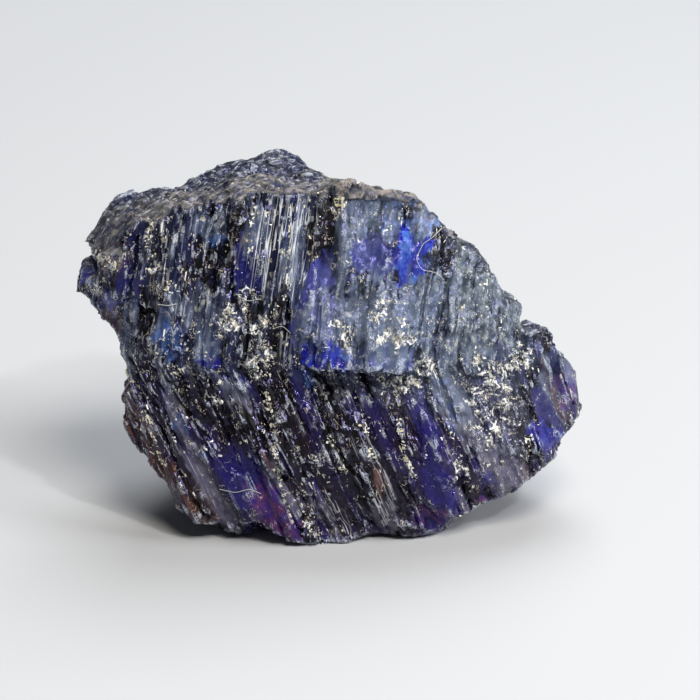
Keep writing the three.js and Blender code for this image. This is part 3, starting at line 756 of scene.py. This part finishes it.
def lint_hairs(skin):
    """Hairs of lint that lie over the front, held just off its highest ribs."""
    places = vertex_places(skin) / MM
    curves = bpy.data.curves.new("lint_hairs", "CURVE")
    curves.dimensions = "3D"
    curves.bevel_depth = HAIR_THICKNESS / 2 * MM
    curves.bevel_resolution = 1
    curves.use_fill_caps = True
    for hair in LINT_HAIRS:
        corners = np.array(hair)
        run = np.concatenate([[0], np.cumsum(np.linalg.norm(np.diff(corners, axis=0), axis=1))])
        spots = np.linspace(0, run[-1], max(8, int(run[-1] / HAIR_STEP)))
        flat = np.stack([np.interp(spots, run, corners[:, axis]) for axis in range(2)], axis=1)
        flat[1:-1] = (flat[:-2] + 2 * flat[1:-1] + flat[2:]) / 4
        near = [places[np.linalg.norm(places[:, [0, 2]] - spot, axis=1) < HAIR_REACH, 1].min()
                for spot in flat]
        depth = np.convolve(np.pad(near, 2, "edge"), np.ones(5) / 5, "valid") - HAIR_THICKNESS
        line = curves.splines.new("POLY")
        line.points.add(len(flat) - 1)
        weights = np.full(len(flat), 1 / MM)
        line.points.foreach_set("co", np.column_stack([flat[:, 0], depth, flat[:, 1], weights]).ravel() * MM)
    scratch = to_object("lint_curves", curves)
    mesh = bpy.data.meshes.new_from_object(scratch.evaluated_get(bpy.context.evaluated_depsgraph_get()))
    bpy.data.objects.remove(scratch)
    mesh.materials.clear()
    return to_object("lint_hairs", mesh)


def broken_shards(skin):
    """Angular bits of the crystal itself, where it is crumbled."""
    places = vertex_places(skin) / MM
    weights = 0.006 + read(skin, "crumbled") ** 2 + 0.1 * read(skin, "dark")
    weights = weights * (1 - 0.97 * read(skin, "top")) * (places[:, 2] > 0.4)
    made, hosts = strewn("broken_shards", skin, weights, count=1500, half_size=(0.03, 0.10),
                         stretch=(1.0, 2.2), seed=9)
    for name in KINDS + ("top", "end"):
        store(made.data, name, "FLOAT", np.repeat(read(skin, name)[hosts], 8))
    store(made.data, "hollow", "FLOAT", np.full(8 * len(hosts), 0.5))
    store(made.data, "run", "FLOAT_VECTOR", grain_place(vertex_places(made.data) / MM))
    return made


# ---- what materials are made with

def linear(code):
    """An sRGB hex colour as linear red, green, blue and alpha."""
    parts = [int(code[at:at + 2], 16) / 255 for at in (1, 3, 5)]
    return tuple(c / 12.92 if c <= 0.04045 else ((c + 0.055) / 1.055) ** 2.4 for c in parts) + (1.0,)


def add(tree, kind, feeds, output=0, **settings):
    """Adds a node with its settings, feeds its sockets with values or other sockets, and gives one output.

    Feeds are in the order of the sockets, or by their numbers or names. A hex code stands for a colour. A
    tuple that starts with a socket is that pattern from its low to its high mark, turned to 0 to 1 or to the
    two numbers that follow.
    """
    made = tree.nodes.new("ShaderNode" + kind)
    for name, value in settings.items():
        setattr(made, name, value)
    for socket, value in feeds.items() if isinstance(feeds, dict) else enumerate(feeds):
        if isinstance(value, tuple) and isinstance(value[0], bpy.types.NodeSocket):
            value = add(tree, "MapRange", value)
        if isinstance(value, bpy.types.NodeSocket):
            tree.links.new(value, made.inputs[socket])
        else:
            made.inputs[socket].default_value = linear(value) if isinstance(value, str) else value
    return made.outputs[output] if made.outputs else None


def new_tree(name):
    """A new material and its empty node tree."""
    made = bpy.data.materials.new(name)
    made.use_nodes = True
    made.node_tree.nodes.clear()
    return made, made.node_tree


def product(tree, *values):
    """Several values multiplied together."""
    return reduce(lambda total, value: add(tree, "Math", (total, value), operation="MULTIPLY"), values)


def largest(tree, *values):
    """The largest of several values at each point."""
    return reduce(lambda total, value: add(tree, "Math", (total, value), operation="MAXIMUM"), values)


def weighed(tree, on, total, **weights):
    """A starting value and the patterns named here, each times its own weight, all summed."""
    for name, weight in weights.items():
        total = add(tree, "Math", (getattr(on, name), weight, total), operation="MULTIPLY_ADD")
    return total


def laid(tree, colour, *coats):
    """Colours laid one over another, each coat as its cover from 0 to 1 and its colour."""
    for cover, over in coats:
        colour = add(tree, "Mix", {0: cover, 6: colour, 7: over}, 2, data_type="RGBA")
    return colour


def two_tone(tree, pattern, low, high, under, over):
    """One colour up to a pattern's low mark, another from its high mark on, and mixed between them."""
    return laid(tree, under, ((pattern, low, high), over))


def mottling(tree, place, size, detail):
    """Soft mottling from 0 to 1, with lumps of a size in mm along each axis."""
    counted = add(tree, "VectorMath", (place, size), operation="DIVIDE")
    return add(tree, "TexNoise", {"Vector": counted, "Scale": 1.0, "Detail": detail})


def seams(tree, place, size, detail, edge, core):
    """1 on thin lines, which run where a mottling crosses its middle value, and 0 beyond their edge."""
    off_middle = add(tree, "Math", (mottling(tree, place, size, detail), 0.5), operation="SUBTRACT")
    return add(tree, "MapRange", (add(tree, "Math", (off_middle,), operation="ABSOLUTE"), edge, core))


def facets(tree, place, size):
    """Flat facets of a size in mm that tilt each its own way: their height, and a random tone for each."""
    counted = add(tree, "VectorMath", (place, size), operation="DIVIDE")
    facet = add(tree, "TexVoronoi", {"Vector": counted, "Scale": 1.0}, feature="F1").node.outputs
    off_middle = add(tree, "VectorMath", (counted, facet["Position"]), operation="SUBTRACT")
    tilt = add(tree, "VectorMath", (facet["Color"], (0.5, 0.5, 0.5)), operation="SUBTRACT")
    return add(tree, "VectorMath", (off_middle, tilt), "Value", operation="DOT_PRODUCT"), facet["Color"]


def chip_rims(tree, place, size):
    """1 on short straight strokes, some of the rims between chips of a size in mm, and 0 between them."""
    counted = add(tree, "VectorMath", (place, size), operation="DIVIDE")
    rim = add(tree, "TexVoronoi", {"Vector": counted, "Scale": 1.0}, feature="DISTANCE_TO_EDGE")
    return product(tree, (rim, 0.13, 0.06), (mottling(tree, place, size, 1.0), 0.48, 0.54))


# ---- tanzanite

# Sizes of its patterns in mm: across, into and along the ribs, or along X, Y and Z where marked plain.
RIB_LINES = (1 / 12, 1 / 3, 1 / 1.5)            # fine striation on broken ribs
FLUTE_LINES = (1 / 18, 1 / 4, 1 / 0.35)         # the same on whole flutes, where it runs long
HIGHLIGHT_LINES = (1 / 8, 1 / 2.5, 1 / 0.07)       # painted highlight lines, as if ridges caught the light all down a flute
RIB_STREAKS = (1 / 6, 1 / 3, 1 / 0.5)
COLUMN_STREAKS = (1 / 2.2, 1 / 0.8, 1 / 0.15)
RIB_CHIPS = (1 / 8, 1 / 3, 1 / 1.3)
MILKY_LINES = (1 / 12, 1 / 12, 1 / 9)           # plain, as all below
MILKY_STREAKS = (1 / 4.5, 1 / 4.5, 1 / 3.5)
SMALL_CHIPS = (1 / 7, 1 / 7, 1 / 7)
PANES = (1 / 2.8, 1 / 2.8, 1 / 2.2)             # flat breaks inside the windows
DRIFTS = (1 / 3.2, 1 / 3.2, 1 / 3.2)
POWDER = (1 / 24, 1 / 24, 1 / 20)               # real crushed powder is finer, and this is as fine as shows
HEALED_CRACKS = (1 / 4.5, 1 / 4.5, 1 / 2.6)
GLINT_STROKE_CHIPS = (1 / 4.4, 1 / 4.4, 1 / 3.6)           # chips whose rims carry painted white glints

# Parts of the stone with ground of their own: an axis, and in mm where they start and where they are full.
PARTS = {
    "low": [("Z", 6.0, 4.0)],
    # Lit flank: the right flank, whose haze is painted paler as if lit from the right.
    "flank": [("X", 3.2, 4.2), ("Z", 5.4, 6.6)],
    "veil": [("X", -0.8, 0.8), ("slope", 5.6, 6.8)],
    "shelf": [("Y", 0.6, -0.8), ("X", 4.4, 3.6)],
    # Glinting: the upper left, where the painted glints are thickest.
    "glinting": [("X", 0.5, -0.5), ("Z", 6.0, 7.0)],
}
VEIL_SLOPE = 0.6            # how far the foot of the milky veil drops for each mm to the right
MILKINESS = 0.7             # how far the veil hides the ribs' own streaks


def tanzanite_ground(tree):
    """What the finishes below are laid by, under plain names: stored areas, places, parts and patterns."""
    on = SimpleNamespace()
    for name in KINDS + ("top", "end", "hollow"):
        setattr(on, name, add(tree, "Attribute", {}, "Fac", attribute_name=name))
    on.clear = largest(tree, on.navy, on.cobalt, on.violet, on.azure)

    # On the two ends the ribs are counted front to back.
    run = add(tree, "Attribute", {}, "Vector", attribute_name="run")
    across, into, along = add(tree, "SeparateXYZ", (run,)).node.outputs
    turned = add(tree, "CombineXYZ", (into, across, along))
    at_end = add(tree, "Math", (on.end, 0.5), operation="GREATER_THAN")
    on.run = add(tree, "Mix", {0: at_end, 4: run, 5: turned}, 1, data_type="VECTOR")
    metres = add(tree, "TexCoord", {}, "Object")
    on.place = add(tree, "VectorMath", {0: metres, "Scale": 1 / MM}, operation="SCALE")

    axes = dict(zip("XYZ", add(tree, "SeparateXYZ", (on.place,)).node.outputs))
    axes["slope"] = add(tree, "Math", (axes["X"], VEIL_SLOPE, axes["Z"]), operation="MULTIPLY_ADD")
    for name, edges in PARTS.items():
        shares = [add(tree, "MapRange", (axes[axis], start, full)) for axis, start, full in edges]
        setattr(on, name, product(tree, *shares))
    off_break = add(tree, "Math", (axes["Z"], BREAK_HEIGHT), operation="SUBTRACT")
    off_break = add(tree, "Math", (off_break,), operation="ABSOLUTE")
    on.at_break = add(tree, "MapRange", (off_break, 0.8, 0.3))

    # Long lines on the flutes, short ones where the ribs are broken up and mottling where the face is milky.
    milky = product(tree, on.veil, MILKINESS)
    broken_lines, flute_lines = (mottling(tree, on.run, size, 2.0) for size in (RIB_LINES, FLUTE_LINES))
    rib_lines = add(tree, "Mix", {0: largest(tree, on.fluted, on.lined), 2: broken_lines, 3: flute_lines})
    on.lines = add(tree, "Mix", {0: milky, 2: rib_lines, 3: mottling(tree, on.place, MILKY_LINES, 2.0)})
    rib_streaks = mottling(tree, on.run, RIB_STREAKS, 3.0)
    on.streaks = add(tree, "Mix", {0: milky, 2: rib_streaks, 3: mottling(tree, on.place, MILKY_STREAKS, 3.0)})
    on.columns = mottling(tree, on.run, COLUMN_STREAKS, 2.0)
    on.drifts = mottling(tree, on.place, DRIFTS, 3.0)
    on.powder = mottling(tree, on.place, POWDER, 2.0)
    on.rib_chips, on.rib_tone = facets(tree, on.run, RIB_CHIPS)
    on.chips, on.chip_tone = facets(tree, on.place, SMALL_CHIPS)
    _, on.pane_tone = facets(tree, on.place, PANES)
    on.panes = weighed(tree, on, 0.0, streaks=0.45, pane_tone=0.55)
    return on


def glass(tree, on):
    """The body: navy glass, olive-black where iron has got in, blue in the windows and violet in thin places,
    each partly a painted glow, brown-violet low down.
    """
    deep = two_tone(tree, on.columns, 0.42, 0.58, "#0d0e16", "#15193c")
    foot = two_tone(tree, on.columns, 0.44, 0.56, "#261d22", "#332a60")
    iron = two_tone(tree, on.drifts, 0.45, 0.55, "#14150f", "#1b1519")
    rust = two_tone(tree, on.streaks, 0.40, 0.60, "#2b1b18", "#5e453c")
    navy = laid(tree, "#191668", (on.low, "#2e2872"))
    steel = two_tone(tree, on.panes, 0.36, 0.64, "#14275e", "#3d5f9e")
    cornflower = two_tone(tree, on.panes, 0.36, 0.64, "#3c5cb8", "#86a2dc")
    indigo = two_tone(tree, on.panes, 0.40, 0.60, "#30308a", "#5054a0")
    magenta = two_tone(tree, on.drifts, 0.40, 0.60, "#3e2a7c", "#6a3a6c")
    cobalt = two_tone(tree, on.panes, 0.36, 0.54, "#1d188e", "#283ac0")
    cobalt = laid(tree, cobalt, ((on.panes, 0.56, 0.66), "#4c74d6"), (product(tree, on.low, 0.8), "#2e2690"))
    azure = laid(tree, steel, (on.veil, cornflower))
    violet = laid(tree, indigo, (on.low, magenta))
    return laid(tree, deep, (product(tree, on.low, 0.85), foot), (on.dark, iron), (on.rusty, rust),
                (on.navy, navy), (on.azure, azure), (on.violet, violet), (on.cobalt, cobalt))


def haze(tree, on):
    """Slate to grey-blue haze of tiny fractures, paler on the right flank and grey on the top partly as
    painted light and sheen: how far it hides the glass, and its colour.
    """
    worn = weighed(tree, on, 0.10, frosted=0.76, crumbled=0.32, dark=-0.30, top=0.45, veil=0.26, cobalt=-0.15,
                   low=-0.10)
    slate = two_tone(tree, on.streaks, 0.36, 0.64, "#444e68", "#6f7a92")
    # On the right flank the paler haze is partly frost and partly painted light and reflection, as if lit
    # from the right.
    flank = two_tone(tree, on.streaks, 0.40, 0.60, "#3a454f", "#848f96")
    # The top's greys are partly frost and partly a painted sheen of light from above; the pale facets laid on
    # it are painted glints.
    crest = two_tone(tree, on.streaks, 0.42, 0.58, "#1c1f2a", "#42454f")
    shelf = two_tone(tree, on.streaks, 0.40, 0.60, "#42434a", "#76756f")
    top = laid(tree, crest, (on.shelf, shelf), ((on.chip_tone, 0.76, 0.94, 0.0, 0.25), "#84847f"),
               ((on.pane_tone, 0.46, 0.24, 0.0, 0.55), "#1d2236"))
    colour = laid(tree, slate, (product(tree, on.low, 0.7), "#7c7682"),
                  (product(tree, on.veil, 0.5), "#6a798f"), (product(tree, on.flank, 0.8), flank),
                  (product(tree, on.top, 0.9), top))
    return product(tree, worn, (on.drifts, 0.3, 0.55, 0.6, 1.1)), colour


def painted_glints(tree, on):
    """Painted glints: small random facets painted pale into the colour as highlights, dimmer and warmer low
    down: how far they show, and their colour.
    """
    lit = largest(tree, (on.rib_tone, 0.80, 0.90, 0.0, 0.5), (on.chip_tone, 0.80, 0.87))
    here = weighed(tree, on, 0.65, clear=-0.45, fluted=-0.25, dark=-0.15, top=-0.30, veil=-0.25, low=-0.20,
                   glinting=0.22)
    colour = laid(tree, two_tone(tree, on.drifts, 0.42, 0.54, "#b6c1cf", "#bfbdaf"), (on.low, "#8e8a88"))
    return product(tree, lit, largest(tree, here, 0.0), (on.lines, 0.42, 0.54, 0.15, 1.15)), colour


def frost_and_highlights(tree, on):
    """Frost in streaks, thick on worn faces and thin in the windows, its pale streaks partly a painted sheen
    along the striae, with highlight lines painted down the flutes.
    """
    streaked = weighed(tree, on, 0.0, lines=0.65, streaks=0.35, frosted=0.05, clear=-0.14, low=-0.05,
                       dark=-0.03, top=-0.02)
    lined = weighed(tree, on, 0.0, columns=0.50, streaks=0.35, lined=0.25, fluted=0.10, clear=-0.05,
                    top=-0.10, crumbled=-0.05, at_break=-0.20)
    # Bright lines painted down the flutes as highlights.
    lines = product(tree, seams(tree, on.run, HIGHLIGHT_LINES, 1.0, 0.048, 0.014), (lined, 0.57, 0.65, 0.0, 0.9))
    colour = laid(tree, two_tone(tree, on.lines, 0.45, 0.70, "#667084", "#c8ced6"), (lines, "#d2d7dc"),
                  (product(tree, on.low, 0.6), "#918d90"), (product(tree, on.top, 0.6), "#7e7e7a"))
    return largest(tree, (streaked, 0.60, 0.70, 0.0, 0.9), lines), colour


def worn_and_highlit_edges(tree, on):
    """The sharpest edges, pale partly from rubbing and partly as painted highlights on the ridges, and tan on
    the shelf: how far they are pale, and their colour.
    """
    sharp = weighed(tree, on, 0.0, hollow=1.0, top=-0.08)
    patchy = weighed(tree, on, 0.0, lines=0.5, powder=0.5)
    colour = laid(tree, "#a3abb8", (product(tree, on.top, on.shelf), "#8a8172"))
    return product(tree, (sharp, 0.27, 0.05), (patchy, 0.44, 0.56)), colour


def powder_and_glint_strokes(tree, on):
    """Crushed mineral, cream in drifts and in healed cracks that wander across the ribs, and painted white
    glints on chip rims, mostly where it is crumbled.
    """
    loose = weighed(tree, on, 0.0, powder=0.55, drifts=0.55, crumbled=0.10, chip_tone=0.06, clear=-0.10,
                    top=-0.08, fluted=-0.03, low=-0.02)
    healed = weighed(tree, on, on.drifts, crumbled=0.08, powder=0.25, clear=-0.05, top=-0.20)
    healed = product(tree, seams(tree, on.place, HEALED_CRACKS, 3.0, 0.010, 0.004), (healed, 0.68, 0.72))
    glint_strokes = weighed(tree, on, on.drifts, crumbled=0.31, top=-0.30)
    glint_strokes = product(tree, chip_rims(tree, on.place, GLINT_STROKE_CHIPS), (glint_strokes, 0.68, 0.74))
    return largest(tree, (loose, 0.73, 0.76), healed, glint_strokes), laid(tree, "#dddac8", (glint_strokes, "#fafaf8"))


def fine_relief(tree, on):
    """The normal bent by chips and striation too fine for the mesh, least on clear and worn ground."""
    crisp = weighed(tree, on, 1.0, clear=-0.6, top=-0.5, fluted=-0.4, frosted=-0.3)
    rib_chips = product(tree, on.rib_chips, largest(tree, crisp, 0.15))
    chips = product(tree, on.chips, weighed(tree, on, 0.3, crumbled=0.70, top=0.15))
    bent = {}
    for height, strength, depth in ((rib_chips, 1.0, 0.14), (chips, 1.0, 0.16), (on.lines, 0.6, 0.03)):
        normal = add(tree, "Bump", {"Strength": strength, "Distance": depth * MM, "Height": height, **bent})
        bent = {"Normal": normal}
    return normal


def tanzanite_broken():
    """Tanzanite, broken rough: glassy blue-violet zoisite, darker the deeper the light goes.

    Its ribs glint, helped by painted glints and highlight lines, its worn faces are frosted grey-blue with
    some painted sheen, and thin edges let violet light through, with painted glow.
    """
    made, tree = new_tree("tanzanite_broken")
    on = tanzanite_ground(tree)
    haze_and_sheen_coat, frost_and_highlight_coat, edge_wear_and_highlight = haze(tree, on), frost_and_highlights(tree, on), worn_and_highlit_edges(tree, on)
    # The powder coat also carries the painted white glints on chip rims.
    powder = powder_and_glint_strokes(tree, on)
    on.haze = haze_and_sheen_coat[0]
    on.solid = largest(tree, frost_and_highlight_coat[0], powder[0], edge_wear_and_highlight[0])
    clarity = largest(tree, weighed(tree, on, 0.35, navy=0.10, dark=-0.15, rusty=-0.15, haze=-0.15), 0.05)
    shader = add(tree, "BsdfPrincipled", {
        "Base Color": laid(tree, glass(tree, on), haze_and_sheen_coat, painted_glints(tree, on), frost_and_highlight_coat, edge_wear_and_highlight, powder),
        "Roughness": weighed(tree, on, 0.09, solid=0.28, haze=0.14),
        "IOR": 1.695,
        "Specular IOR Level": 0.32,
        "Specular Tint": "#8f8cc4",
        "Transmission Weight": add(tree, "Mix", {0: on.solid, 2: clarity, 3: 0.05}),
        "Normal": fine_relief(tree, on),
    })
    depth = add(tree, "VolumeAbsorption", {"Color": "#6159e7", "Density": 400.0})
    add(tree, "OutputMaterial", {"Surface": shader, "Volume": depth})
    return made


# ---- the other materials

def plain_finish(name, settings):
    """A material that is one shader with these settings."""
    made, tree = new_tree(name)
    add(tree, "OutputMaterial", {"Surface": add(tree, "BsdfPrincipled", settings)})
    return made


def calcite_crushed():
    """Crushed calcite and zoisite powder in crumbs: cream-white, slightly glassy, so that it sparkles."""
    made, tree = new_tree("calcite_crushed")
    tone = add(tree, "Attribute", {}, "Fac", attribute_name="tone")
    shader = add(tree, "BsdfPrincipled", {
        "Base Color": laid(tree, "#f4f4ee", (tone, "#d9d2ac")), "Roughness": 0.18, "IOR": 1.6,
        "Transmission Weight": 0.2,
    })
    add(tree, "OutputMaterial", {"Surface": shader})
    return made


def cotton_lint():
    """Cotton lint: fine undyed spun fibres, matt, with a faint soft sheen from their fuzz."""
    return plain_finish("cotton_lint", {"Base Color": "#b9bcb6", "Roughness": 0.6, "Sheen Weight": 0.3})


def paper_matt():
    """Matt uncoated paper, which gives a soft shadow and no glare."""
    return plain_finish("paper_matt", {"Base Color": "#adb0b4", "Roughness": 0.9})


# ---- stage, light and camera

VIEW_ELEVATION = 22.0       # degrees above the horizon
VIEW_DISTANCE = 150.0       # mm
VIEW_WIDTH = 22.4           # mm that the view takes in at the stone
VIEW_AIM = (0.56, -0.5, 5.27)   # mm
VIEW_REACH = (1.0, 10000.0)     # mm, the nearest and the furthest that the camera sees
SENSOR = 36.0               # mm
FLOOR_HALF = 600.0          # mm
LIGHT_AIM = (0.0, 0.0, 5.0)     # mm
SKY = ("#e4eaf0", 0.10)     # colour and strength of the light from all round
LIGHTS = {                  # place in mm, side of the square in mm, power in watts, colour
    "window_above": ((20, 80, 150), 110, 0.27, "#ffffff"),
    "window_front": ((30, -90, 150), 60, 0.24, "#fff6ea"),
    "window_right": ((150, -40, 90), 60, 0.22, "#ffffff"),
    "glint": ((70, -100, 130), 10, 0.09, "#ffffff"),
}


def floor():
    """The pale floor that the stone stands on."""
    corners = [(x * FLOOR_HALF * MM, y * FLOOR_HALF * MM, 0) for x, y in ((-1, -1), (1, -1), (1, 1), (-1, 1))]
    mesh = bpy.data.meshes.new("floor")
    mesh.from_pydata(corners, [], [(0, 1, 2, 3)])
    mesh.materials.append(paper_matt())
    to_object("floor", mesh)


def studio():
    """Soft light from all round, three window-like lamps that face the stone, and a small one for glints."""
    world = bpy.data.worlds.new("studio")
    world.use_nodes = True
    background = world.node_tree.nodes["Background"].inputs
    background["Color"].default_value = linear(SKY[0])
    background["Strength"].default_value = SKY[1]
    bpy.context.scene.world = world
    for name, (place, side, power, colour) in LIGHTS.items():
        lamp = bpy.data.lights.new(name, "AREA")
        lamp.size = side * MM
        lamp.energy = power
        lamp.color = linear(colour)[:3]
        made = to_object(name, lamp)
        made.location = Vector(place) * MM
        made.rotation_euler = (Vector(LIGHT_AIM) * MM - made.location).to_track_quat("-Z", "Y").to_euler()


def camera():
    """A long lens that looks a little down on the ribbed front."""
    lens = bpy.data.cameras.new("camera")
    lens.sensor_width = SENSOR
    lens.lens = SENSOR * VIEW_DISTANCE / VIEW_WIDTH
    lens.clip_start, lens.clip_end = (reach * MM for reach in VIEW_REACH)
    made = to_object("camera", lens)
    tilt = math.radians(VIEW_ELEVATION)
    away = Vector((0, -math.cos(tilt), math.sin(tilt)))
    made.location = (Vector(VIEW_AIM) + away * VIEW_DISTANCE) * MM
    made.rotation_euler = (math.pi / 2 - tilt, 0, 0)
    bpy.context.scene.camera = made


# ---- the whole model

bpy.context.scene.view_settings.view_transform = "Standard"
tanzanite, calcite, lint = tanzanite_broken(), calcite_crushed(), cotton_lint()
skin = crystal_skin()
skin.data.materials.append(tanzanite)
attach(skin, "root")
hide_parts(NODE)
for make, finish in ((crushed_flecks, calcite), (pale_splinters, calcite), (broken_shards, tanzanite),
                     (lint_hairs, lint)):
    piece = make(skin.data)
    piece.data.materials.append(finish)
    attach(piece, "root")
floor()
studio()
camera()
